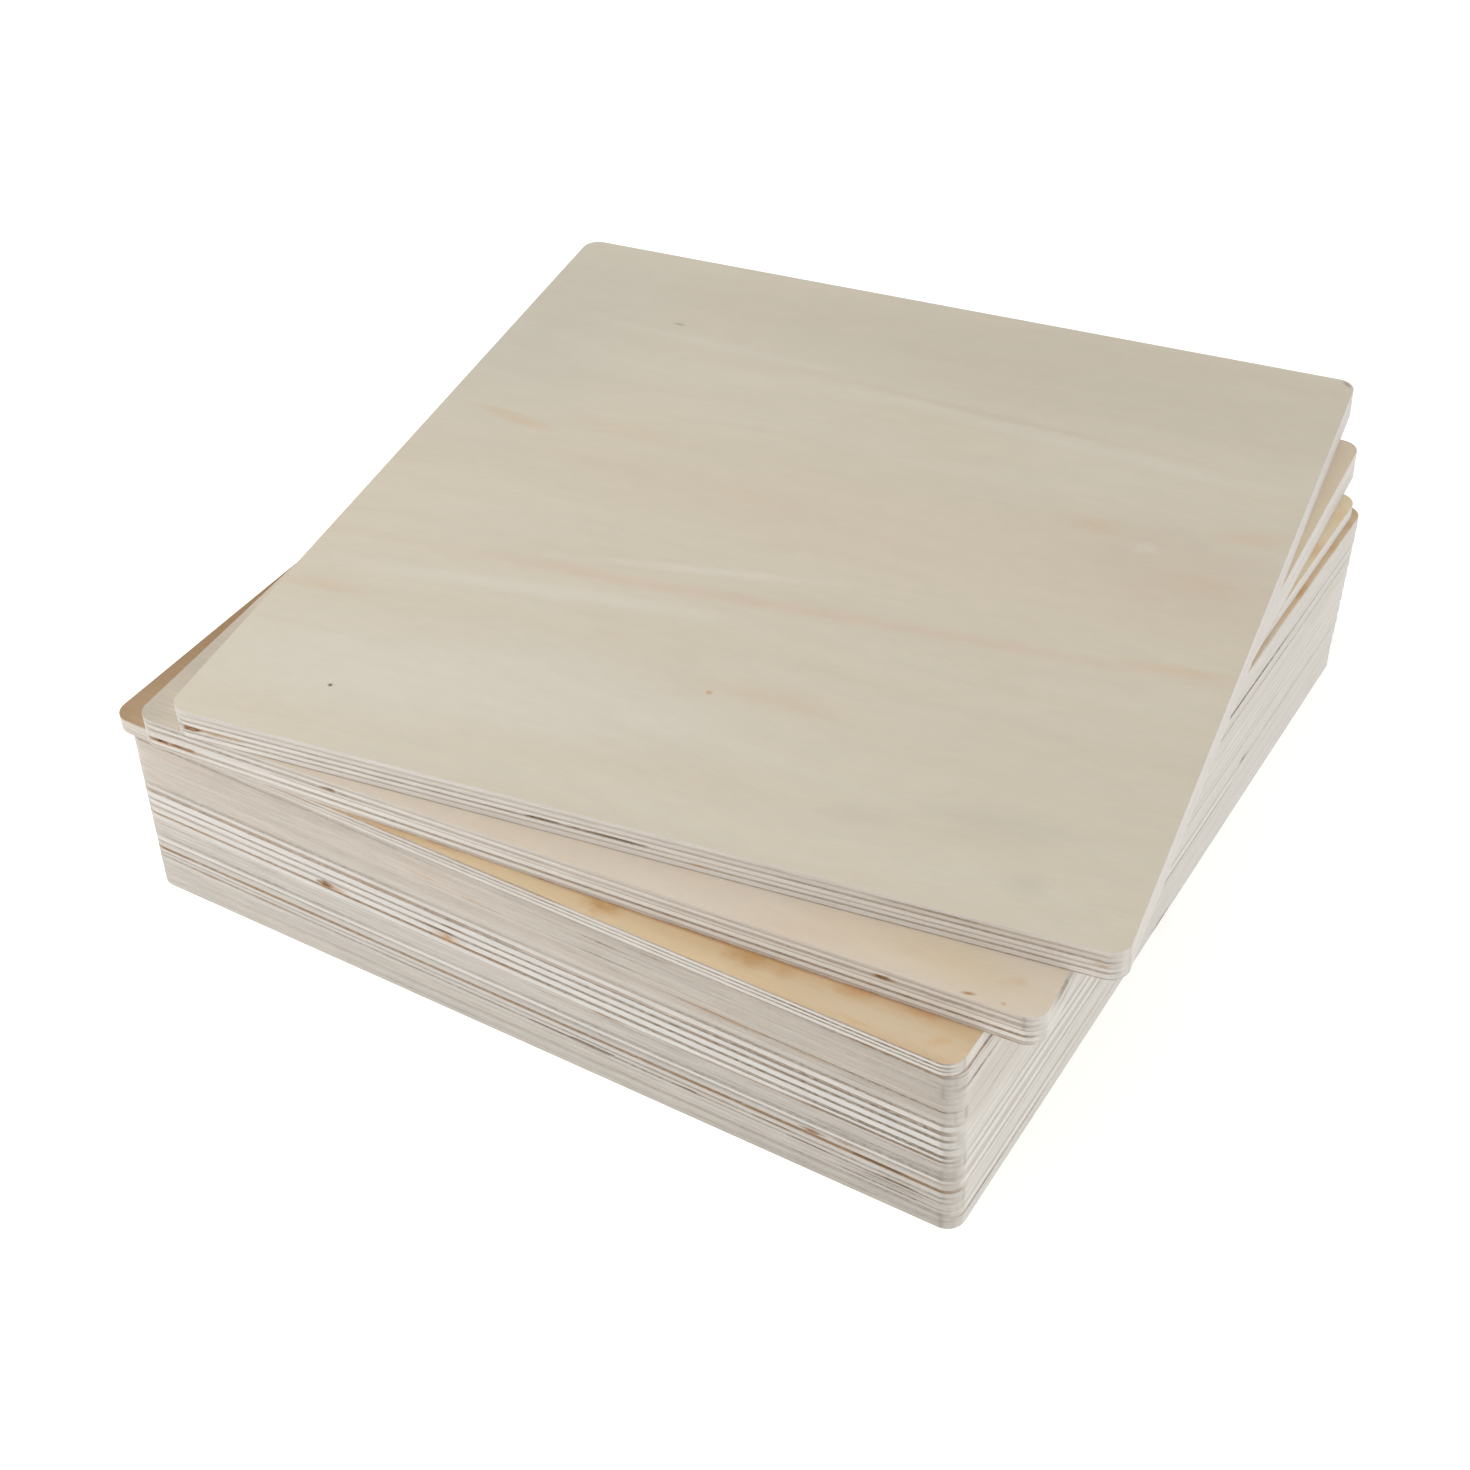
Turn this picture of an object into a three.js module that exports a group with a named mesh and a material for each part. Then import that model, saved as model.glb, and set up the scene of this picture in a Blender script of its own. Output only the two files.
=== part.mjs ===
// A stack of square plywood sheets with rounded corners, lying flat.
// Thirteen sheets make a squared pile. One more lies almost square on it, then come two
// pairs, each turned a little further, so that the top of the stack fans out.
// Millimetres, +Z up. The origin is the centre of the underside of the lowest sheet.
import * as THREE from 'three';

// The sheet
const SHEET_WIDTH = 300; // along X when a sheet lies square
const SHEET_DEPTH = 300; // along Y when a sheet lies square
const SHEET_THICKNESS = 5.2;
const CORNER_RADIUS = 6; // routed corners, in plan
const ARRIS = 0.3; // sanded-off edge, top and bottom
const CORNER_STEPS = 6; // flats round one corner

// How the sheets lie on each other
const SEAM = 0.15; // air between two sheets that rest together
const PITCH = SHEET_THICKNESS + SEAM;

// The squared pile: its top sheet has crept and turned a little against its lowest one
const PILE_COUNT = 13;
const PILE_CREEP_X = 2.7;
const PILE_CREEP_Y = -1.3;
const PILE_TWIST = -0.6; // degrees
const PILE_SHUFFLE = 0.15; // how far one sheet stands out of line with its neighbours

// The face veneers: most sheets are pale, and the two that meet on top of the pile are golden
const PALE_BIRCH = { color: 0xd3cabb, roughness: 0.8 };
const GOLDEN_BIRCH = { color: 0xc9aa7c, roughness: 0.75 };

// The sheets above it, from the bottom up: how many, turned how far (degrees), where and of what
const FAN = [
  { count: 1, turn: -0.2, x: 1.4, y: -4.0, veneer: GOLDEN_BIRCH }, // the capping sheet
  { count: 2, turn: 4.1, x: 6.7, y: 1.7, veneer: PALE_BIRCH }, // the lower pair
  { count: 2, turn: 8.7, x: 9.4, y: 11.8, veneer: PALE_BIRCH }, // the upper pair
];
const FAN_SHUFFLE = 0.3; // how far the sheets of a pair stand out of line

// A square outline with quarter-round corners, centred on the origin.
function roundedSquare(width, depth, radius) {
  const x = width / 2;
  const y = depth / 2;
  const outline = new THREE.Shape();
  outline.moveTo(x - radius, -y);
  outline.absarc(x - radius, -y + radius, radius, -Math.PI / 2, 0, false);
  outline.absarc(x - radius, y - radius, radius, 0, Math.PI / 2, false);
  outline.absarc(-x + radius, y - radius, radius, Math.PI / 2, Math.PI, false);
  outline.absarc(-x + radius, -y + radius, radius, Math.PI, 1.5 * Math.PI, false);
  return outline;
}

// One sheet, its underside at z = 0: the outline extruded, with both arrises eased.
function sheetGeometry() {
  const arris = Math.min(ARRIS, SHEET_THICKNESS / 4);
  const radius = Math.min(CORNER_RADIUS, SHEET_WIDTH / 2, SHEET_DEPTH / 2);
  const geometry = new THREE.ExtrudeGeometry(roundedSquare(SHEET_WIDTH, SHEET_DEPTH, radius), {
    depth: SHEET_THICKNESS - 2 * arris,
    bevelEnabled: true,
    bevelThickness: arris,
    bevelSize: arris,
    bevelOffset: -arris,
    bevelSegments: 1,
    curveSegments: CORNER_STEPS,
  });
  geometry.translate(0, 0, arris);
  return geometry;
}

// A small, repeatable misplacement for the sheet at a given place in the stack.
function shuffle(index, phase, amount) {
  return amount * Math.sin(index * 2.4 + phase);
}

const stack = new THREE.Group();
let laid = 0;

// Lays one sheet on top of those already there.
function laySheet(x, y, turn, veneer) {
  const sheet = new THREE.Mesh(
    sheetGeometry(),
    new THREE.MeshStandardMaterial({ ...veneer, metalness: 0 }),
  );
  sheet.position.set(x, y, laid * PITCH);
  sheet.rotation.z = THREE.MathUtils.degToRad(turn);
  laid += 1;
  sheet.name = `sheet_${String(laid).padStart(2, '0')}`;
  stack.add(sheet);
}

// The lowest sheet lies true to the axes, and each one above has crept a step further.
for (let i = 0; i < PILE_COUNT; i += 1) {
  const rise = i / Math.max(PILE_COUNT - 1, 1);
  const loose = i === 0 ? 0 : PILE_SHUFFLE;
  const veneer = i === PILE_COUNT - 1 ? GOLDEN_BIRCH : PALE_BIRCH;
  laySheet(
    PILE_CREEP_X * rise + shuffle(i, 0, loose),
    PILE_CREEP_Y * rise + shuffle(i, 2, loose),
    PILE_TWIST * rise,
    veneer,
  );
}

// The fanned sheets, pair by pair.
for (const layer of FAN) {
  for (let i = 0; i < layer.count; i += 1) {
    laySheet(
      layer.x + shuffle(i, 0, FAN_SHUFFLE),
      layer.y + shuffle(i, 2, FAN_SHUFFLE),
      layer.turn,
      layer.veneer,
    );
  }
}

export default stack;
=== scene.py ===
import math

import bpy
import numpy as np
from mathutils import Matrix, Vector


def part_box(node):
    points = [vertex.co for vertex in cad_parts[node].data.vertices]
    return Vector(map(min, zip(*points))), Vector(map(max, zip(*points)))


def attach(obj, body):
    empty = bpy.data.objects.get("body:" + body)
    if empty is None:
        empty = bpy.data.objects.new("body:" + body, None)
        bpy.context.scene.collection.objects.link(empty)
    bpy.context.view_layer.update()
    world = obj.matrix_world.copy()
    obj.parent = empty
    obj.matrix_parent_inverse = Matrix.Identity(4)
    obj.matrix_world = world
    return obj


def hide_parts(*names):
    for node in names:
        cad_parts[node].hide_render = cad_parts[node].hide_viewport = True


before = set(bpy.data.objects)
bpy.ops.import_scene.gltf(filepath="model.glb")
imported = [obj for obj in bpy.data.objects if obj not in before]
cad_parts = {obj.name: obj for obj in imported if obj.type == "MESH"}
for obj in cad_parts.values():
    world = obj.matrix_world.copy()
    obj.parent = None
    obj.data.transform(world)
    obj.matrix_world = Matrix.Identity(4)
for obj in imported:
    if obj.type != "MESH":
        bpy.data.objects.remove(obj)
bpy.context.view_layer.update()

MM = 0.001

# ---------------------------------------------------------------- how a sheet is made, in mm

CORNER = 6.0  # routed corner, in plan
ARRIS = 0.04  # what sandpaper took off the edges
ARRIS_WANDER = 0.6  # how far that strays, as a share of itself
SEAM = 0.03  # air left between two sheets that lie pressed together
STEP = 2.0  # along the outline
FINE_STEP = 1.0  # along the outline at the corners
ROW_STEP = 0.35  # up the edge
GLUE_LINE = 0.03  # half the height over which one ply gives way to the next
END_GRAIN_SETBACK = 0.08  # end grain sands lower than long grain
TORN_GRAIN = 0.02  # how deep the saw has torn the grain
SAW_WANDER = 0.04  # how far the sawn edge strays from straight
PLY_WANDER = 0.012  # how far a glue line strays from level, as a share of the thickness
PLY_CLIMB = 0.05  # how far glue lines climb from the left end of the front to the right
CRISP = math.radians(20)  # an edge that turns more than this is crisp, and others look round
SIDE = 300.0  # one side of the outline, as the patterns count it
LOOP = 4 * SIDE  # once round the outline
LOOP_START = -SIDE  # the count starts at the back left corner, so that the front is 0 to 300
SAME_TURN = math.radians(0.1)  # sheets that differ less than this were squared up together
FACES_APART = 1000.0  # from the pattern of one sheet's face to that of the next
EDGES_APART = 1700.0  # from the pattern of one sheet's edge to that of the next
UNDERSIDE = 500.0  # how far off its pattern lies, so that the underside has a grain of its own

# What a ply shows where the front is cut: how pale it is, and how brown.
WHITE = (0.87, 0.0)
CREAM = (0.745, 0.0)
PALE = (0.62, 0.0)
EVEN = (0.55, 0.0)
PLAIN = (0.49, 0.0)
GREY = (0.39, 0.0)
ASH = (0.35, 0.01)
DULL = (0.285, 0.03)
DARK = (0.225, 0.06)
UMBER = (0.22, 0.11)
BURNT = (0.195, 0.3)
MEAN = 0.53  # how pale the front is on the whole

# The plies of each sheet from its underside up: how far up the ply reaches, and its look.
PLIES = {
    1: ((0.28, EVEN), (0.45, PLAIN), (0.66, EVEN), (0.88, PALE), (1.0, EVEN)),
    2: (
        (0.08, GREY), (0.26, DULL), (0.42, PALE), (0.56, PLAIN), (0.84, PALE), (0.96, PLAIN),
        (1.0, PALE),
    ),
    3: ((0.25, PALE), (0.40, GREY), (0.62, PALE), (0.77, GREY), (1.0, CREAM)),
    4: ((0.07, CREAM), (0.30, BURNT), (0.58, PALE), (0.72, PLAIN), (0.86, GREY), (1.0, WHITE)),
    5: ((0.13, WHITE), (0.42, GREY), (0.62, EVEN), (0.74, PLAIN), (1.0, EVEN)),
    6: ((0.24, EVEN), (0.44, PLAIN), (0.60, PALE), (0.68, PLAIN), (1.0, WHITE)),
    7: ((0.04, WHITE), (0.28, UMBER), (0.67, WHITE), (0.89, DARK), (1.0, WHITE)),
    8: ((0.28, WHITE), (0.48, DULL), (0.89, WHITE), (1.0, DARK)),
    9: ((0.24, UMBER), (0.55, WHITE), (0.82, GREY), (1.0, EVEN)),
    10: ((0.3, PALE), (0.62, EVEN), (0.80, PLAIN), (0.97, GREY), (1.0, EVEN)),
    11: ((0.25, EVEN), (0.40, PALE), (0.52, PLAIN), (1.0, EVEN)),
    12: ((0.22, PALE), (0.38, PLAIN), (0.60, EVEN), (0.70, PLAIN), (1.0, EVEN)),
    13: ((0.16, PLAIN), (0.40, EVEN), (0.54, PLAIN), (1.0, EVEN)),
    14: (
        (0.09, GREY), (0.3, CREAM), (0.42, GREY), (0.56, CREAM), (0.70, DULL), (0.87, CREAM),
        (1.0, GREY),
    ),
    15: ((0.14, PALE), (0.27, GREY), (0.52, WHITE), (0.72, DARK), (1.0, WHITE)),
    16: ((0.22, CREAM), (0.45, ASH), (0.67, CREAM), (0.84, GREY), (1.0, PALE)),
    17: ((0.08, GREY), (0.38, WHITE), (0.54, GREY), (0.75, WHITE), (0.91, GREY), (1.0, WHITE)),
    18: ((0.14, WHITE), (0.31, GREY), (0.54, CREAM), (0.72, PLAIN), (1.0, CREAM)),
}
# Sheets whose plies show more or less: their contrast at the left end of the front and at the right
FADED = {
    2: (0.2, 0.9), 5: (0.6, 1.3), 6: (0.5, 1.2), 7: (0.75, 1.1), 8: (0.75, 1.1), 9: (0.52, 1.15),
    10: (0.1, 1.1), 11: (0.4, 0.8), 12: (0.6, 0.4), 13: (0.8, 0.4), 14: (0.3, 1.7),
    15: (0.7, 1.4), 16: (0.9, 1.15), 17: (1.0, 1.3), 18: (1.0, 1.4),
}
# Sheets whose glue lines climb otherwise from the left end of the front to the right
CLIMB = {3: -0.3, 7: 0.12, 8: 0.22, 9: 0.24}
# How much paler the front of a sheet is at its left end, in its middle and at its right end.
# On the fan sheets 15 to 18 the paler middle is painted light.
TONE_AND_PAINTED_LIGHT_ALONG_FRONT = {
    1: (-0.03, -0.04, -0.09), 2: (0, -0.03, -0.07), 3: (0, -0.02, -0.05), 4: (0, -0.02, -0.05),
    5: (0, 0, -0.08), 6: (0, 0, -0.07), 7: (0, 0, -0.08), 8: (0, 0, -0.08), 9: (0, 0, -0.07),
    10: (0, 0, -0.11), 11: (0, -0.02, -0.11), 12: (-0.02, -0.035, -0.08),
    13: (-0.02, -0.035, -0.05), 14: (0, 0.03, -0.03), 15: (-0.02, 0.12, 0.07),
    16: (-0.02, 0.105, 0.04), 17: (0, 0.05, -0.07), 18: (0, 0.05, -0.09),
}
# How warm the front of a sheet is at its left and right ends
WARM = {
    9: (0.05, 0.05), 10: (0.07, 0.06), 11: (0.07, 0.06), 12: (0.07, 0.06), 13: (0.07, 0.06),
    14: (0.07, 0.06), 15: (0.04, 0.16), 16: (0.04, 0.16), 17: (0.06, 0.15), 18: (0.06, 0.15),
}

# Marks in the edges: the sheet, from and to what share of its height, and from and to where along
# the outline (the front is 0 to 300, the right side 300 to 600). First the gaps in a ply, and how
# deep they are in mm.
GAPS = (
    (3, 0.00, 0.07, 270, 288, 0.3),
    (3, 0.26, 0.39, 153, 160, 0.7),
    (3, 0.26, 0.39, 160, 170, 0.8),
    (3, 0.24, 0.41, 169, 182, 1.9),
    (3, 0.25, 0.40, 206, 213, 0.6),
    (3, 0.26, 0.39, 246, 258, 0.7),
    (3, 0.26, 0.40, 274, 286, 0.7),
    (3, 0.65, 0.76, 233, 246, 0.4),
    (4, 0.10, 0.28, 267, 284, 0.8),
    (7, 0.69, 0.87, 116, 126, 1.0),
    (8, 0.31, 0.47, 123, 130, 0.6),
    (13, 0.90, 1.02, 317, 328, 1.0),
    (15, 0.52, 0.74, 5, 10.5, 1.1),
    (15, 0.52, 0.74, 12.5, 21, 1.2),
    (16, 0.25, 0.45, 70.2, 73.2, 0.9),
    (17, 0.66, 0.84, 0.5, 4, 1.0),
    (17, 0.76, 0.91, 121, 132, 1.1),
    (17, 0.76, 0.91, 134, 158, 1.1),
)
# Knots: the same, with how brown they are
KNOTS = (
    (4, 0.36, 0.58, 250, 256, 0.8),
    (5, 0.14, 0.40, 505, 510, 0.6),
    (7, 0.22, 0.66, 74, 79, 0.95),
    (16, 0.24, 0.46, 70, 73.4, 0.9),
    (16, 0.24, 0.52, 251, 256, 0.9),
    (17, 0.60, 0.90, 0, 11, 0.95),
    (17, 0.90, 1.00, 291, 297, 0.3),
)
# Stains, and some painted shade: the same, with how brown and how amber they are
STAINS_AND_PAINTED_SHADE = (
    (1, 0.08, 0.22, 440, 450, 0.7, 0.0),
    (3, 0.24, 0.41, 21, 28, 0.5, 0.3),
    (3, 0.24, 0.41, 44, 55, 0.2, 0.2),
    (3, 0.24, 0.41, 98, 116, 0.16, 0.0),
    (3, 0.24, 0.41, 128, 145, 0.16, 0.0),
    (3, 0.63, 0.77, 195, 225, 0.2, 0.3),
    (4, 0.05, 0.30, 3, 17, 0.6, 0.1),
    (4, 0.05, 0.30, 0, 306, 0.3, 0.3),
    (4, 0.05, 0.28, 250, 300, 0.35, 0.4),
    (4, 0.06, 0.18, 284, 307, 0.55, 0.5),
    (4, 0.56, 0.74, 261, 267, 0.4, 0.3),
    (6, 0.45, 0.57, 143, 156, 0.25, 0.1),
    (6, 0.48, 0.64, 178, 187, 0.6, 0.3),
    (6, 0.58, 0.70, 215, 256, 0.2, 0.2),
    (6, 0.60, 0.74, 250, 296, 0.35, 0.15),
    (7, 0.20, 0.60, 78, 82.5, 0.25, 0.9),
    (7, 0.04, 0.28, 0, 60, 0.0, 0.25),
    (7, 0.04, 0.28, 60, 150, 0.2, 0.25),
    (7, 0.10, 0.66, 120, 128, 0.3, 0.9),
    (8, 0.28, 0.52, 210, 256, 0.12, 0.15),
    (8, 0.88, 1.00, 0, 100, 0.1, 0.15),
    (9, 0.00, 0.22, 35, 150, 0.1, 0.3),
    (10, 0.80, 0.97, 200, 262, 0.1, 0.4),
    (10, 0.80, 0.97, 262, 293, 0.05, 0.15),
    (10, 0.80, 0.97, 216, 232, 0.2, 0.7),
    (11, 0.55, 0.95, 110, 140, 0.0, 0.2),
    (11, 0.48, 0.60, 132, 142, 0.15, 0.55),
    (11, 0.74, 0.88, 112, 124, 0.1, 0.45),
    (11, 0.86, 1.04, 480, 516, 0.75, 0.0),
    (11, 0.92, 1.04, 512, 575, 0.45, 0.0),
    (12, 0.08, 0.22, 117, 128, 0.1, 0.4),
    (12, 0.10, 0.60, 10, 60, 0.0, 0.12),
    (12, 0.30, 0.80, 108, 136, 0.0, 0.18),
    (12, -0.04, 0.08, 482, 514, 0.6, 0.0),
    (13, 0.06, 0.30, 44, 76, 0.05, 0.05),
    (13, 0.55, 0.66, 303, 335, 0.5, 0.1),
    (13, 0.87, 1.00, 303, 330, 0.9, 0.0),
    # sheet 14's lower rim: partly a dark bottom ply, partly painted shade where sheet 14 overhangs sheet
    # 13
    (14, 0.00, 0.10, 150, 268, 0.2, 0.2),
    (14, 0.00, 0.11, 266, 300, 0.85, 0.5),
    (14, 0.00, 0.10, 296, 308, 0.8, 0.5),
    (14, 0.00, 0.10, 303, 345, 1.0, 0.0),
    (14, 0.00, 0.07, 345, 385, 0.6, 0.0),
    (14, 0.00, 0.06, 385, 425, 0.35, 0.0),
    (14, 0.00, 0.08, 340, 592, 0.5, 0.2),
    (14, 0.90, 1.00, 0, 300, 0.1, 0.5),
    (14, 0.82, 1.00, 40, 170, 0.05, 0.3),
    (15, 0.00, 0.10, 500, 530, 0.15, 0.5),
    # sheet 15's lower rim where it lies on the golden face: partly orange-brown stain, partly painted
    # contact shadow
    (15, 0.00, 0.08, 50, 120, 0.4, 0.7),
    (15, 0.00, 0.06, 95, 150, 0.5, 0.5),
    (15, 0.00, 0.07, 140, 297, 0.95, 0.6),
    (15, 0.52, 0.74, 215, 262, 0.05, 0.25),
    (15, 0.48, 0.76, 4, 24, 0.15, 0.6),
    (17, 0.62, 0.86, 10, 26, 0.3, 0.6),
    (17, 0.76, 0.92, 73, 79, 0.3, 0.0),
    (17, 0.76, 0.92, 88, 95, 0.3, 0.0),
    (17, 0.76, 0.92, 108, 117, 0.35, 0.0),
    (17, 0.38, 0.60, 172, 177, 0.2, 1.0),
    (18, 0.00, 0.12, 290, 297, 0.15, 0.7),
    (18, 0.54, 0.70, 236, 258, 0.2, 0.1),
)
# Where an edge is less pale than its ply: the same, with how much. Below 0 it is paler.
# Rows over a whole sheet's height on the right side (sheets 8 to 13) are painted shade.
SHADES = (
    (1, 0.77, 0.93, 303, 326, 0.2),
    (1, 0.77, 0.93, 303, 356, 0.35),
    (1, 0.77, 0.93, 340, 420, 0.15),
    (2, 0.08, 0.28, 0, 300, -0.06),
    (2, 0.15, 0.38, 303, 370, -0.15),
    (2, 0.46, 0.58, 262, 292, 0.3),
    (2, 0.68, 0.78, 266, 290, 0.25),
    (2, 0.88, 0.98, 266, 290, 0.3),
    (2, 0.48, 0.68, 303, 400, 0.22),
    (3, 0.16, 0.32, 255, 300, 0.14),
    (3, 0.22, 0.38, 160, 215, 0.14),
    (3, 0.29, 0.49, 0, 60, 0.1),
    (4, 0.10, 0.30, 210, 300, 0.15),
    (4, 0.28, 0.46, 303, 500, 0.35),
    (4, 0.65, 0.88, 303, 500, -0.1),
    (5, 0.25, 0.45, 0, 60, 0.12),
    (5, 0.50, 0.90, 255, 300, 0.08),
    (5, 0.08, 0.48, 303, 430, 0.26),
    (5, 0.08, 0.34, 420, 592, 0.18),
    (5, 0.75, 0.95, 303, 400, -0.1),
    (6, 0.30, 0.50, 0, 60, 0.08),
    (6, 0.30, 0.60, 160, 210, 0.07),
    (6, 0.45, 0.65, 205, 255, 0.15),
    (6, 0.60, 0.80, 248, 300, 0.65),
    (6, 0.16, 0.35, 303, 420, 0.35),
    (6, 0.50, 0.72, 303, 420, -0.1),
    (6, 0.88, 1.05, 400, 540, 0.4),
    (7, 0.08, 0.24, 60, 160, 0.1),
    (7, 0.10, 0.30, 210, 255, -0.2),
    (7, 0.68, 0.88, 0, 110, -0.12),
    (7, -0.05, 0.20, 303, 400, 0.32),
    (7, -0.05, 0.08, 400, 540, 0.4),
    (8, 0.40, 0.60, 170, 300, 0.28),
    (8, 0.75, 0.95, 215, 260, 0.1),
    # painted shade: the right side of sheet 8 darker over its whole height
    (8, -0.10, 1.10, 303, 345, 0.04),
    (9, 0.05, 0.24, 150, 212, -0.25),
    (9, 0.55, 0.75, 0, 110, 0.08),
    (9, 0.60, 0.90, 210, 300, 0.1),
    (9, 0.52, 0.70, 303, 400, 0.18),
    (9, 0.70, 0.90, 500, 592, 0.2),
    # painted shade: the right side of sheet 9 darker over its whole height
    (9, -0.10, 1.10, 303, 592, 0.03),
    (9, -0.10, 1.10, 303, 345, 0.06),
    (9, 0.15, 0.26, 200, 300, -0.3),
    (9, 0.60, 0.80, 303, 350, 0.1),
    # painted shade: the right side of sheet 10 darker over its whole height
    (10, -0.10, 1.10, 303, 592, 0.05),
    (10, -0.10, 1.10, 303, 345, 0.08),
    (10, 0.80, 0.97, 210, 300, 0.12),
    (10, 0.78, 0.98, 303, 355, 0.15),
    (10, 0.78, 0.98, 350, 592, 0.55),
    # painted shade: the right side of sheet 11 darker over its whole height
    (11, -0.10, 1.10, 303, 592, 0.06),
    (11, -0.10, 1.10, 303, 345, 0.09),
    (11, 0.40, 0.56, 178, 190, 0.2),
    (11, 0.88, 1.04, 400, 592, 0.3),
    (11, 0.84, 1.04, 452, 592, 0.3),
    (11, 0.80, 1.04, 476, 592, 0.6),
    # painted shade: the right side of sheet 12 darker over its whole height
    (12, -0.10, 1.10, 303, 592, 0.06),
    (12, 0.56, 0.72, 178, 188, 0.25),
    (12, -0.04, 0.08, 440, 592, 0.4),
    (12, -0.04, 0.16, 476, 530, 0.7),
    (12, 0.58, 0.84, 303, 319, 0.28),
    (12, 0.58, 0.84, 303, 350, 0.22),
    # painted shade: the right side of sheet 13 darker over its whole height
    (13, -0.10, 1.10, 303, 592, 0.06),
    (13, 0.18, 0.36, 195, 202, 0.28),
    (13, 0.02, 0.22, 0, 60, 0.2),
    (13, 0.10, 0.30, 60, 110, 0.15),
    (13, 0.55, 0.75, 255, 300, 0.35),
    (14, 0.50, 1.04, -5, 26, -0.14),
    (14, 0.84, 1.04, 40, 170, 0.15),
    (14, 0.30, 0.42, 180, 235, -0.1),
    (14, 0.56, 0.70, 180, 240, -0.15),
    (15, 0.54, 0.72, 0, 60, -0.1),
    (15, 0.60, 1.00, 315, 322, 0.35),
    (16, 0.30, 1.06, 312, 322, 0.6),
    (16, -0.04, 0.07, 50, 300, 0.45),
    (17, 0.92, 1.04, 110, 165, -0.13),
    (17, 0.74, 0.92, 165, 300, -0.25),
    (17, 0.38, 0.55, 60, 300, -0.08),
    (17, 0.54, 0.76, 8, 50, 0.1),
    (18, -0.04, 0.14, 110, 165, -0.1),
    (18, 0.12, 0.33, 100, 200, -0.1),
    (18, 0.54, 0.72, 234, 260, 0.2),
    (18, 0.74, 1.04, 0, 60, 0.06),
    (18, 0.74, 1.04, 230, 300, -0.08),
)

# How softly each kind of mark ends: up the edge as a share of its height, and along it in mm
GAP_SOFT = (0.02, 2)
STAIN_AND_SHADE_SOFT = (0.04, 6)
SHADE_SOFT = (0.08, 12)

# How the look of an edge is mixed, in shares from 0 to 1 unless a comment says otherwise
# The sides are paler partly for their long grain and partly as painted light.
SIDE_TONE = 0.72  # how pale the sides are
SIDE_CONTRAST = 0.16  # what is left there of the contrast of the plies, the other way round
LONG_STREAKS = 0.04  # how far the tone of a ply strays slowly,
SHORT_STREAKS = 0.03  # and quickly
EVENNESS = 0.75  # how evenly a brown ply or a stain is coloured,
UNEVEN_SLOWLY = 0.3  # and how far that strays slowly
UNEVEN_QUICKLY = 0.25  # and quickly
SIDE_BROWN_LOST = 0.8  # how much less brown a ply is on the sides than on the front
BROWN_AMBER = 0.6  # how amber a brown ply is
GREYER = 0.6  # how much of its brown the front loses near its right corner,
GREYER_FROM, GREYER_TO, GREYER_SOFT = 225, 312, 60  # and where, in mm
GAP_FILL = 1.1  # how much of its stretch a gap fills,
GAP_RAGGED = 0.7  # and how far that strays
GAP_AMBER = 0.4
# A gap is partly brown of its own and partly painted shade, which darkens it with each mm of depth.
GAP_BROWN = 0.45  # how brown the shallowest gap is,
GAP_PAINTED_SHADE_PER_MM = 0.5  # how much more for each mm of depth,
GAP_BROWN_MOST = 0.98  # and at most
KNOT_AMBER = 0.5
KNOT_DEPTH = 0.12  # in mm, how far the darkest knot has shrunk back
CORNER_ONSET = 2.5  # how soon on its way round a routed corner has its full look
CORNER_BROWN_LOST = 0.8  # how much less brown it is,
CORNER_AMBER_LOST = 0.9  # and how much less amber
CORNER_GREY = 0.45  # the tone that it is drawn to,
CORNER_GREYED = 0.3  # and how far
SOIL = 0.2  # how soiled it is,
SOIL_WANDER = 0.25  # and how far that strays quickly, and as much again slowly
TICK_OFF = 5.0  # in mm, how far from the square corner the cutter came in and went out
TICK_HALF = 0.7  # in mm, half the width of the dark tick that it left there
TICK_DARKEST = 0.8
TICK_PHASE = 1.7  # in radians, from the ticks of one sheet to those of the next

GOLDEN_SHEETS = (13, 14)
CREAM_SHEETS = (15, 16)
SHOWING = (13, 14, 16, 18)  # sheets whose upper faces show

NAMES = sorted(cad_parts)
COUNT = len(NAMES)
GAP_IN_FRAME = (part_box(NAMES[1])[0].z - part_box(NAMES[0])[1].z) / MM  # between the CAD sheets


def wander(along, spacing, seed):
    """A smooth random line from -1 to 1: random values at even spacing round the outline,
    joined by 3t^2 - 2t^3 and closed on itself. Each seed has a line of its own."""
    count = round(LOOP / spacing)
    values = np.random.default_rng(seed).uniform(-1, 1, count)
    place = (along - LOOP_START) / LOOP * count
    low = np.floor(place).astype(int)
    t = place - low
    t = t * t * (3 - 2 * t)
    return values[low % count] * (1 - t) + values[(low + 1) % count] * t


def window(x, start, end, soft):
    """1 between start and end, falling to 0 outside them over the length soft."""
    return np.clip((x - start) / soft + 0.5, 0, 1) * np.clip((end - x) / soft + 0.5, 0, 1)


def patch(share, along, low, high, start, end, soft):
    """1 over one mark in the edge, falling to 0 round it: a window up the edge times a window
    along it."""
    return window(share, low, high, soft[0]) * window(along, start, end, soft[1])


def dome(x, y, x_range, y_range):
    """1 in the middle of an ellipse that fills the two ranges, falling to 0 just past its rim."""
    a = (2 * x - x_range[0] - x_range[1]) / (x_range[1] - x_range[0])
    b = (2 * y - y_range[0] - y_range[1]) / (y_range[1] - y_range[0])
    steepness, foot = 2.2, 1.3
    return np.clip(steepness * (foot - np.hypot(a, b)), 0, 1)


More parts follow.
